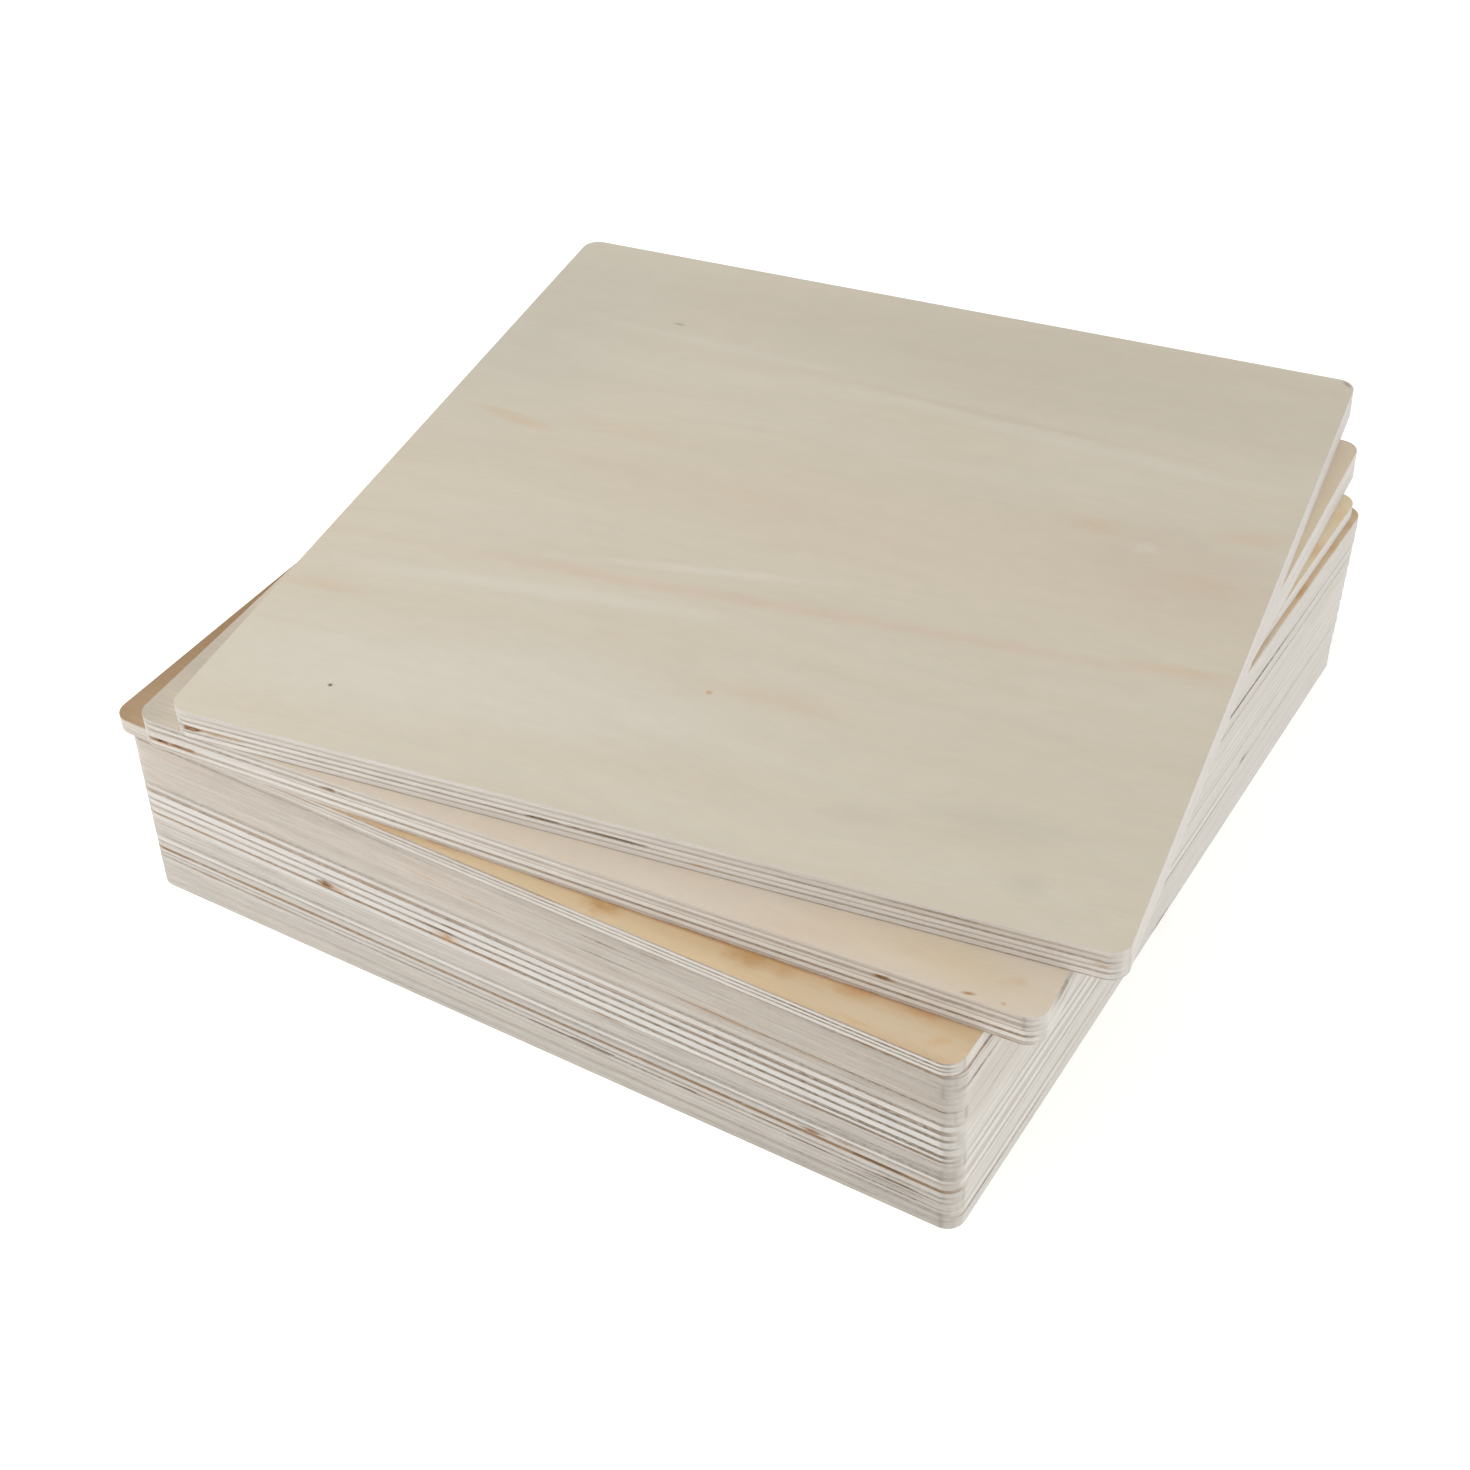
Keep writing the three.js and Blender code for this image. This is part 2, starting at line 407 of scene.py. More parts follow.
def grid_lines(half):
    """Where the lines of the face grid lie from -half to half: finer over the corners."""
    straight = half - CORNER
    fine = np.linspace(-half, -straight, round(CORNER / FINE_STEP) + 1)
    middle = np.linspace(-straight, straight, round(2 * straight / STEP) + 1)[1:-1]
    return np.concatenate([fine, middle, -fine[::-1]])


def round_corners(x, y, half):
    """Bends a square grid into a rounded square. Past the corner's centre a point at (a, b)
    moves along its own direction until its distance is the larger of a and b. Gives the new
    points and the directions out of the corner."""
    straight = half - CORNER
    a = np.maximum(np.abs(x) - straight, 0)
    b = np.maximum(np.abs(y) - straight, 0)
    reach = np.maximum(np.hypot(a, b), 1e-9)
    scale = np.where(a + b > 0, np.maximum(a, b) / reach, 1)
    out_x = np.sign(x) * (np.minimum(np.abs(x), straight) + a * scale)
    out_y = np.sign(y) * (np.minimum(np.abs(y), straight) + b * scale)
    return out_x, out_y, np.sign(x) * a / reach, np.sign(y) * b / reach


def place_of(node):
    """Where a sheet lies: centre and heights in mm, half its side, and its turn. The turn of a
    square is a quarter of the angle of the sum of its outline's points, as complex numbers, to
    the fourth power."""
    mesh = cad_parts[node].data
    co = np.zeros(len(mesh.vertices) * 3)
    mesh.vertices.foreach_get("co", co)
    co = co.reshape(-1, 3) / MM
    low, high = co.min(0), co.max(0)
    centre = (low + high)[:2] / 2
    plan = np.unique(np.round(co[:, :2] - centre, 3), axis=0)
    z = plan[:, 0] + 1j * plan[:, 1]
    turn = (np.angle(np.sum(z**4)) - math.pi) / 4
    turn = (turn + math.pi / 4) % (math.pi / 2) - math.pi / 4
    half = np.abs((z * np.exp(-1j * turn)).real).max()
    return centre, low[2], high[2], half, turn


def flush(places):
    """Sheets squared up by hand: each centre moves to the mean of its own and the mean of those
    of the sheets just above and below it at the same turn."""
    squared = []
    for n, (centre, low, high, half, turn) in enumerate(places):
        near = places[max(n - 1, 0):n] + places[n + 1:n + 2]
        beside = [place[0] for place in near if abs(place[4] - turn) < SAME_TURN]
        if beside:
            centre = (centre + np.mean(beside, axis=0)) / 2
        squared.append((centre, low, high, half, turn))
    return squared


def edge_rows(number, thickness):
    """The rows of points up the edge of a sheet: how far up each lies, as a share of the
    thickness, and the ply it crosses. A ply has a row just inside each of its glue lines and
    more between them, and the first and last rows are the sheet's two rims."""
    shares, plies = [0.0], [0]
    low = 0.0
    for ply, (high, _) in enumerate(PLIES[number]):
        margin = GLUE_LINE / thickness
        count = max(2, math.ceil((high - low) * thickness / ROW_STEP))
        shares.extend(np.linspace(low + margin, high - margin, count))
        plies.extend([ply] * count)
        low = high
    return np.array(shares + [1.0]), np.array(plies + [plies[-1]])


def ply_tones(number, front, ply, along, across, on_front):
    """How pale the edge is at each place and row. front is the tone that each row's ply has
    where the front is cut, and a faded sheet shows less of its contrast. On the sides the plies
    between show their long grain, and all of them are close in tone and paler, partly as painted light.
    Each ply has streaks of its own, and the front's paleness shifts along its length, which in the
    middle of the fan sheets is painted light."""
    on_sides = SIDE_TONE + SIDE_CONTRAST * (MEAN - front)
    left, right = FADED.get(number, (1.0, 1.0))
    contrast = np.clip(left + (right - left) * along / SIDE, min(left, right), max(left, right))
    front = MEAN + (front - MEAN) * contrast[:, None]
    pale = front * (1 - across[:, None]) + on_sides * across[:, None]
    for i in np.unique(ply):
        seed = number * 100 + i
        streak = LONG_STREAKS * wander(along, 60, seed) + SHORT_STREAKS * wander(along, 9, seed + 50)
        pale[:, ply == i] += streak[:, None]
    # painted light in part: the fan sheets' fronts drawn paler in the middle
    tone_and_painted_light = np.interp(along, (0, SIDE / 2, SIDE), TONE_AND_PAINTED_LIGHT_ALONG_FRONT[number])
    return pale + (tone_and_painted_light * on_front)[:, None]


def corner_soil(number, along, bend):
    """How soiled the edge is: an uneven film on the routed corners, and a dark tick where the
    cutter came in and another where it went out, as strong as a sine of the sheet's number."""
    quick, slow = wander(along, 2, number + 80), wander(along, 6, number + 70)
    soil = bend * np.clip(SOIL + SOIL_WANDER * quick + SOIL_WANDER * slow, 0, 1)
    for tick in (SIDE - TICK_OFF, SIDE + TICK_OFF):
        dark = np.clip(TICK_DARKEST * math.sin(number * TICK_PHASE + tick), 0, 1)
        soil = np.maximum(soil, dark * window(along, tick - TICK_HALF, tick + TICK_HALF, 1))
    return soil


def edge_look(number, share, ply, along, across, corner):
    """What the edge of a sheet shows at each place along the outline and each row: how pale,
    brown, amber and soiled it is, and how far it is set back, as arrays of places by rows.
    across is 0 on the front and back and 1 on the sides; corner is 1 in the middle of a
    corner."""
    tones = np.array([look for _, look in PLIES[number]])
    on_front = (1 - across) * (along < 1.5 * SIDE)  # and 0 on the back
    pale = ply_tones(number, tones[ply, 0][None], ply, along, across, on_front)
    slow, quick = wander(along, 25, number + 20), wander(along, 4, number + 30)
    ragged = EVENNESS + UNEVEN_SLOWLY * slow + UNEVEN_QUICKLY * quick
    greyer = 1 - GREYER * window(along, GREYER_FROM, GREYER_TO, GREYER_SOFT)
    brown = tones[ply, 1][None] * (1 - SIDE_BROWN_LOST * across[:, None])
    brown = brown * (ragged * greyer)[:, None]
    warmth = np.interp(along, (0, SIDE), WARM.get(number, (0, 0))) * on_front
    amber = BROWN_AMBER * brown + warmth[:, None]
    deep = np.zeros_like(brown)
    across, along, ragged = across[:, None], along[:, None], ragged[:, None]
    bend = np.clip(CORNER_ONSET * corner, 0, 1)[:, None]
    for sheet, low, high, start, end, depth in GAPS:
        if sheet == number:
            over = patch(share, along, low, high, start, end, GAP_SOFT)
            over = over * np.clip(GAP_FILL + GAP_RAGGED * wander(along, 3, int(start)), 0, 1)
            # painted shade in part: the deeper the gap, the browner
            gap_brown_and_shade = min(GAP_BROWN + GAP_PAINTED_SHADE_PER_MM * depth, GAP_BROWN_MOST)
            deep = np.maximum(deep, depth * over)
            brown = np.maximum(brown, gap_brown_and_shade * over)
            amber = np.maximum(amber, GAP_AMBER * over)
    for sheet, low, high, start, end, dark in KNOTS:
        if sheet == number:
            over = dome(along, share, (start, end), (low, high))
            deep = np.maximum(deep, KNOT_DEPTH * dark * over)
            brown = np.maximum(brown, dark * over)
            amber = np.maximum(amber, KNOT_AMBER * over * (1 - across))
    brown = brown * (1 - CORNER_BROWN_LOST * bend)
    amber = amber * (1 - CORNER_AMBER_LOST * bend)
    # stains, with some painted shade along contact lines and under overhangs
    for sheet, low, high, start, end, dark, warm in STAINS_AND_PAINTED_SHADE:
        if sheet == number:
            over = patch(share, along, low, high, start, end, STAIN_AND_SHADE_SOFT) * ragged
            brown = np.maximum(brown, dark * over)
            amber = np.maximum(amber, warm * over)
    for sheet, low, high, start, end, less in SHADES:
        if sheet == number:
            pale = pale - less * patch(share, along, low, high, start, end, SHADE_SOFT)
    pale = pale * (1 - CORNER_GREYED * bend) + CORNER_GREY * CORNER_GREYED * bend
    torn = TORN_GRAIN * np.abs(wander(along, 4, number + 10))
    setback = END_GRAIN_SETBACK * (1 - pale) + torn + deep
    look = np.stack(np.broadcast_arrays(pale, brown, amber), -1)
    return look, np.broadcast_to(corner_soil(number, along, bend), pale.shape), setback


def walk_round(lines, half):
    """The outline, walked from the back left corner by the front and once round: each point's
    two indices in the face grid, its place and direction outwards in plan, and how far along
    the outline it lies."""
    n = len(lines) - 1
    walk = np.arange(n)
    i = np.concatenate([0 * walk, walk, 0 * walk + n, n - walk])
    j = np.concatenate([n - walk, 0 * walk, walk, 0 * walk + n])
    x, y, nx, ny = round_corners(lines[i], lines[j], half)
    back, forth = half - lines[n - walk], half + lines[walk]
    sides_before = np.repeat(np.arange(4), n)
    along = np.concatenate([back, forth, forth, back]) + sides_before * SIDE + LOOP_START
    return i, j, x, y, nx, ny, along


def load_board(name, points, blocks, uv, values):
    """Loads arrays into a mesh: its points, its faces in blocks with one number of sides each,
    the pattern place of every face corner, and the named values of every point. The first block
    is the cut edge, which has the second material."""
    mesh = bpy.data.meshes.new(name)
    mesh.vertices.add(len(points))
    mesh.vertices.foreach_set("co", points.astype(np.float32).ravel())
    corners = np.concatenate([block.ravel() for block in blocks])
    mesh.loops.add(len(corners))
    mesh.loops.foreach_set("vertex_index", corners.astype(np.int32))
    sides = np.concatenate([np.full(len(block), block.shape[1]) for block in blocks])
    mesh.polygons.add(len(sides))
    mesh.polygons.foreach_set("loop_start", (np.cumsum(sides) - sides).astype(np.int32))
    is_edge = np.arange(len(sides)) < len(blocks[0])
    mesh.polygons.foreach_set("material_index", is_edge.astype(np.int32))
    mesh.update(calc_edges=True)
    for key, value in values.items():
        kind, field = ("FLOAT_VECTOR", "vector") if value.ndim == 2 else ("FLOAT", "value")
        layer = mesh.attributes.new(key, kind, "POINT")
        layer.data.foreach_set(field, value.astype(np.float32).ravel())
    mesh.uv_layers.new(name="board").data.foreach_set("uv", uv.astype(np.float32).ravel())
    mesh.polygons.foreach_set("use_smooth", np.ones(len(sides), bool))
    mesh.set_sharp_from_angle(angle=CRISP)
    return mesh


def build_sheet(place, number, face, edge):
    """One sheet. Its edge is a profile carried round the rounded square: a function of the
    place along the outline and the height. Its upper face is a grid bent to the same outline
    where it shows, and the other faces fan out from the middle."""
    centre, low, high, half, turn = place
    thickness = high - low + (GAP_IN_FRAME - SEAM if number < COUNT else 0.0)
    lines = grid_lines(half)
    i, j, x, y, nx, ny, along = walk_round(lines, half)
    count = len(along)
    across, corner = nx**2, 4 * nx**2 * ny**2
    share, ply = edge_rows(number, thickness)
    rows = len(share)
    look, soil, setback = edge_look(number, share, ply, along, across, corner)

    # the edge: points set back from the outline, at heights that drift along it
    climb = CLIMB.get(number, PLY_CLIMB) * np.clip(along / SIDE - 0.5, -0.5, 0.5)
    drift = climb + PLY_WANDER * wander(along, 90, number)
    height = thickness * (share + drift[:, None] * np.sin(math.pi * share))
    setback = setback + SAW_WANDER * (0.5 + 0.5 * wander(along, 70, 7 + number))[:, None]
    eased = ARRIS * (1 + ARRIS_WANDER * wander(along, 11, 40 + number))
    setback[:, 0] += eased
    setback[:, -1] += eased
    edge_x = x[:, None] - nx[:, None] * setback
    edge_y = y[:, None] - ny[:, None] * setback
    points = np.stack([edge_x, edge_y, height], -1).reshape(-1, 3)
    post, row = (v.ravel() for v in np.meshgrid(np.arange(count), np.arange(rows - 1), indexing="ij"))
    here, after = post * rows + row, (post + 1) % count * rows + row
    edge_faces = np.stack([here, after, after + 1, here + 1], 1)
    reach, tall = np.append(along, LOOP_START + LOOP), share * thickness
    edge_uv = np.stack([
        np.stack([reach[post], tall[row]], -1), np.stack([reach[post + 1], tall[row]], -1),
        np.stack([reach[post + 1], tall[row + 1]], -1), np.stack([reach[post], tall[row + 1]], -1),
    ], 1) + np.array([EDGES_APART * number, 0.0])

    # the underside: a fan from its middle to the lowest row
    ring = np.arange(count)
    follow = (ring + 1) % count
    middle = len(points)
    points = np.concatenate([points, [[0, 0, 0]]])
    below = np.stack([follow * rows, ring * rows, 0 * ring + middle], 1)

    # the upper face: a grid whose rim is the highest row, or a fan where it is covered
    if number in SHOWING:
        grid_x, grid_y = np.meshgrid(lines[1:-1], lines[1:-1], indexing="ij")
        face_x, face_y, _, _ = round_corners(grid_x, grid_y, half)
        inner = np.stack([face_x, face_y, 0 * face_x + thickness], -1).reshape(-1, 3)
        side = len(lines)
        index = np.zeros((side, side), int)
        index[1:-1, 1:-1] = np.arange(len(inner)).reshape(side - 2, side - 2) + len(points)
        index[i, j] = ring * rows + rows - 1
        quads = np.stack([index[:-1, :-1], index[1:, :-1], index[1:, 1:], index[:-1, 1:]], -1)
        above = quads.reshape(-1, 4)
        points = np.concatenate([points, inner])
    else:
        above = np.stack([ring * rows + rows - 1, follow * rows + rows - 1, 0 * ring + len(points)], 1)
        points = np.concatenate([points, [[0, 0, thickness]]])

    c, s = math.cos(turn), math.sin(turn)
    world = np.stack([
        points[:, 0] * c - points[:, 1] * s + centre[0],
        points[:, 0] * s + points[:, 1] * c + centre[1],
        points[:, 2] + low,
    ], 1) * MM
    plan = points[:, :2] + np.array([0.0, FACES_APART * number])
    uv = np.concatenate([
        edge_uv.reshape(-1, 2), plan[below].reshape(-1, 2) + UNDERSIDE, plan[above].reshape(-1, 2),
    ]) * MM
    spare = len(points) - count * rows  # the points inside the faces have none of the edge's look
    values = {
        "ply": np.concatenate([look.reshape(-1, 3), np.zeros((spare, 3))]),
        "soil": np.concatenate([soil.ravel(), np.zeros(spare)]),
        "side": np.concatenate([np.repeat(across, rows), np.zeros(spare)]),
    }
    mesh = load_board(f"plywood_{number:02d}", world, (edge_faces, below, above), uv, values)
    mesh.materials.append(face)
    mesh.materials.append(edge)
    piece = bpy.data.objects.new(f"plywood_{number:02d}", mesh)
    bpy.context.scene.collection.objects.link(piece)
    return piece


# ---------------------------------------------------------------- materials

# Settings that many nodes share
SMOOTH = {"interpolation_type": "SMOOTHSTEP"}  # eased and held at both ends
TIMES = {"operation": "MULTIPLY"}
TIMES_PLUS = {"operation": "MULTIPLY_ADD"}  # the first by the second, plus the third
HELD = {"use_clamp": True}  # kept from 0 to 1
COLOURS = {"data_type": "RGBA"}
FACTOR, UNDER, OVER = 0, 6, 7  # the sockets of a Mix of colours


def srgb(code):
    """An sRGB hex colour as linear RGBA: c / 12.92 up to 0.04045, else ((c + 0.055) / 1.055)^2.4."""
    c = np.array([int(code[i:i + 2], 16) for i in (1, 3, 5)]) / 255
    linear = np.where(c <= 0.04045, c / 12.92, ((c + 0.055) / 1.055) ** 2.4)
    return (*linear.tolist(), 1.0)


def add(tree, kind, inputs=(), **settings):
    """Adds a node, sets what settings say, and gives its inputs their values or links: the first
    ones in order, or those that a dict names. A node stands for the first output that it uses."""
    made = tree.nodes.new(kind)
    for name, value in settings.items():
        setattr(made, name, value)
    for key, value in inputs.items() if isinstance(inputs, dict) else enumerate(inputs):
        if isinstance(value, bpy.types.Node):
            value = next(socket for socket in value.outputs if socket.enabled)
        if isinstance(value, bpy.types.NodeSocket):
            tree.links.new(value, made.inputs[key])
        else:
            made.inputs[key].default_value = value
    return made


def grain(tree, where, long_mm, wide_mm, detail=3.0, roughness=0.5, at=0.0):
    """Noise drawn out along the grain: one cell is long_mm by wide_mm, and at picks the part of
    the noise that is used."""
    cells = (1000 / long_mm, 1000 / wide_mm, 1.0)
    stretched = add(tree, "ShaderNodeVectorMath", (where, cells, (at, at, at)), **TIMES_PLUS)
    noise = {"Vector": stretched, "Scale": 1.0, "Detail": detail, "Roughness": roughness}
    return add(tree, "ShaderNodeTexNoise", noise)


def sway(tree, where, noise, reach_x, reach_y):
    """Moves a place with a noise: up to half of reach_x along the grain, half of reach_y across."""
    moved = add(tree, "ShaderNodeCombineXYZ", (noise, noise))
    centred = add(tree, "ShaderNodeVectorMath", (moved, (0.5, 0.5, 0.0)), operation="SUBTRACT")
    reach = (reach_x * MM, reach_y * MM, 0.0)
    return add(tree, "ShaderNodeVectorMath", (centred, reach, where), **TIMES_PLUS)


def oval(tree, where, x, y, half_long, half_wide, turn):
    """1 in the middle of an oval on the face, falling to 0 at its rim. Millimetres and degrees."""
    lies = {
        "Vector": where, "Location": (x * MM, y * MM, 0), "Rotation": (0, 0, math.radians(turn)),
        "Scale": (half_long * MM, half_wide * MM, 1),
    }
    placed = add(tree, "ShaderNodeMapping", lies, vector_type="TEXTURE")
    far = add(tree, "ShaderNodeVectorMath", (placed,), operation="LENGTH")
    return add(tree, "ShaderNodeMapRange", (far, 1.0, 0.0), **SMOOTH)


def tinted(tree, colour, tint, pattern, low, high, thin, thick):
    """Lays a tint over a colour: thin where the pattern is low and thick where it is high."""
    cover = add(tree, "ShaderNodeMapRange", (pattern, low, high, thin, thick), **SMOOTH)
    return add(tree, "ShaderNodeMix", {FACTOR: cover, UNDER: colour, OVER: tint}, **COLOURS)


def shaded(tree, colour, pattern, low, high, dark, light):
    """Multiplies a colour: by dark where the pattern is low and by light where it is high."""
    shade = add(tree, "ShaderNodeMapRange", (pattern, low, high, dark, light), **SMOOTH)
    both = {FACTOR: 1.0, UNDER: colour, OVER: shade}
    return add(tree, "ShaderNodeMix", both, blend_type="MULTIPLY", **COLOURS)


def new_material(name):
    """An empty material and its node tree."""
    material = bpy.data.materials.new(name)
    material.use_nodes = True
    material.node_tree.nodes.clear()
    return material, material.node_tree


def finish(tree, looks):
    """Ends a material: a Principled shader with these inputs, and the output that shows it."""
    shader = add(tree, "ShaderNodeBsdfPrincipled", looks)
    add(tree, "ShaderNodeOutputMaterial", {"Surface": shader})


FRAYED_OVER = 12  # marks longer than twice this run out along the grain
RAGGED_OVER = 4  # and those longer than twice this have a ragged rim


def veneer(name, pale, mid, warm, stain, stain_mix, marks):
    """Rotary-cut birch face veneer, sanded: soft bands along the grain where the peeling knife
    crossed the growth rings, fine fibre, and marks that run out along the grain: stains, and some
    painted light and shade. It gives the eye a matt, even, creamy sheet whose grain shows only as faint
    streaks."""
    material, tree = new_material(name)
    board = add(tree, "ShaderNodeUVMap", uv_map="board")
    slow = grain(tree, board, 160, 90, detail=1.0)
    quick = grain(tree, board, 26, 0.9, detail=2.0, roughness=0.6, at=3.0)
    blot = grain(tree, board, 5, 4, roughness=0.65, at=21.0)
    flowing = sway(tree, board, slow, 0.0, 36.0)
    frayed = sway(tree, board, quick, 26.0, 3.0)
    ragged = sway(tree, board, blot, 9.0, 7.0)
    bands = grain(tree, flowing, 260, 24, detail=4.0, roughness=0.6)
    streaks = grain(tree, flowing, 90, 2.6, roughness=0.6, at=4.0)
    cloud = grain(tree, frayed, 60, 22, at=17.0)
    mottle = grain(tree, flowing, 18, 7, roughness=0.65, at=27.0)
    # real fibres are 0.03 wide: drawn coarser
    fibre = grain(tree, flowing, 7, 0.6, detail=2.0, roughness=0.6, at=9.0)
    colour = tinted(tree, srgb(mid), srgb(pale), bands, 0.2, 0.8, 0.2, 0.8)
    colour = tinted(tree, colour, srgb(warm), streaks, 0.4, 0.8, 0.0, 0.16)
    colour = tinted(tree, colour, srgb(stain), cloud, 0.45, 0.75, 0.0, stain_mix)
    # marks: stains, and some painted light and shade
    for sheet, x, y, half_long, half_wide, turn, strength, tint in marks:
        drawn_on = frayed if half_long > FRAYED_OVER else ragged if half_long > RAGGED_OVER else board
        shape = oval(tree, drawn_on, x, y + FACES_APART * sheet, half_long, half_wide, turn)
        cover = add(tree, "ShaderNodeMath", (shape, strength), **TIMES)
        mark = {FACTOR: cover, UNDER: colour, OVER: srgb(tint)}
        colour = add(tree, "ShaderNodeMix", mark, **COLOURS)
    colour = shaded(tree, colour, mottle, 0.3, 0.7, 0.985, 1.012)
    colour = shaded(tree, colour, fibre, 0.25, 0.75, 0.975, 1.015)
    finish(tree, {
        "Base Color": colour,
        "Roughness": add(tree, "ShaderNodeMapRange", (fibre, 0.2, 0.8, 0.62, 0.74), **SMOOTH),
        "Specular IOR Level": 0.3,
        "Normal": add(tree, "ShaderNodeBump", {"Height": fibre, "Strength": 0.1, "Distance": 0.1 * MM}),
    })
    return material


def cut_edge():
    """The sawn and sanded edge of birch plywood. Long grain shows pale with fine streaks along
    the sheet, end grain darker and dull, glue and gaps brown, with painted shade in deep gaps and
    along some contact lines. It gives the eye the striped edge that tells plywood from solid wood."""
    material, tree = new_material("birch_plywood_edge_sawn_and_sanded")
    board = add(tree, "ShaderNodeUVMap", uv_map="board")
    ply = add(tree, "ShaderNodeAttribute", attribute_name="ply").outputs["Vector"]
    soil = add(tree, "ShaderNodeAttribute", attribute_name="soil").outputs["Fac"]
    side = add(tree, "ShaderNodeAttribute", attribute_name="side").outputs["Fac"]
    pale, brown, amber = add(tree, "ShaderNodeSeparateXYZ", (ply,)).outputs
    streaks = grain(tree, board, 12, 0.8, roughness=0.6)  # fibres drawn coarser than their 0.05
    pores = grain(tree, board, 1.3, 0.6, roughness=0.7, at=5.0)  # vessels, coarser than their 0.1
    flecks = grain(tree, board, 2.2, 0.6, roughness=0.6, at=8.0)
    broad = grain(tree, board, 60, 5.0, detail=2.0, at=11.0)

    # the tone of the ply, with streaks that are a little weaker on the sides, and with flecks
    # where it is darker than half
    streak = add(tree, "ShaderNodeMapRange", (streaks, 0.3, 0.7, -1.0, 1.0), **SMOOTH)
    reach = add(tree, "ShaderNodeMath", (side, -0.02, 0.06), **TIMES_PLUS)
    tone = add(tree, "ShaderNodeMath", (streak, reach, pale), **TIMES_PLUS, **HELD)
    fleck = add(tree, "ShaderNodeMapRange", (flecks, 0.3, 0.7, -0.7, 0.7), **SMOOTH)
    dull = add(tree, "ShaderNodeMath", (0.5, pale), operation="SUBTRACT", **HELD)
    tone = add(tree, "ShaderNodeMath", (fleck, dull, tone), **TIMES_PLUS, **HELD)
    # the sides' lighter sanded colour is partly painted light
    sanded = {FACTOR: side, UNDER: srgb("#c2bfba"), OVER: srgb("#cbc8c3")}
    sanded = add(tree, "ShaderNodeMix", sanded, **COLOURS)
    colour = {FACTOR: tone, UNDER: srgb("#6a5f50"), OVER: sanded}
    colour = add(tree, "ShaderNodeMix", colour, **COLOURS)

    # the plain plies, neither pale long grain nor end grain, are the pinkest
    not_dark = add(tree, "ShaderNodeMapRange", (pale, 0.34, 0.5), **SMOOTH)
    not_pale = add(tree, "ShaderNodeMapRange", (pale, 0.72, 0.56), **SMOOTH)
    plain = add(tree, "ShaderNodeMath", (not_dark, not_pale), **TIMES)
    blush = add(tree, "ShaderNodeMapRange", (broad, 0.2, 0.8, 0.02, 0.2), **SMOOTH)
    blush = add(tree, "ShaderNodeMath", (blush, plain), **TIMES)

    # amber and brown are broken up by flecks, and soil lies over all of them
    broken = add(tree, "ShaderNodeMapRange", (flecks, 0.3, 0.7, -0.4, 0.4), **SMOOTH)
    warm = add(tree, "ShaderNodeMath", (amber, broken, amber), **TIMES_PLUS, **HELD)
    # the brown holds painted shade too: in deep gaps and along contact lines
    brown_and_painted_shade = add(tree, "ShaderNodeMath", (brown, broken, brown), **TIMES_PLUS, **HELD)
    film = add(tree, "ShaderNodeMath", (soil, 0.6), **TIMES)
    for cover, tint in ((blush, "#c8baaa"), (warm, "#a77f4e"), (brown_and_painted_shade, "#694723"), (film, "#77746a")):
        colour = add(tree, "ShaderNodeMix", {FACTOR: cover, UNDER: colour, OVER: srgb(tint)}, **COLOURS)
    finish(tree, {
        "Base Color": shaded(tree, colour, pores, 0.3, 0.7, 0.95, 1.03),
        "Roughness": add(tree, "ShaderNodeMapRange", (pores, 0.2, 0.8, 0.7, 0.85), **SMOOTH),
        "Specular IOR Level": 0.25,
        "Normal": add(tree, "ShaderNodeBump", {"Height": pores, "Strength": 0.15, "Distance": 0.1 * MM}),
    })
    return material


# ---------------------------------------------------------------- the stack

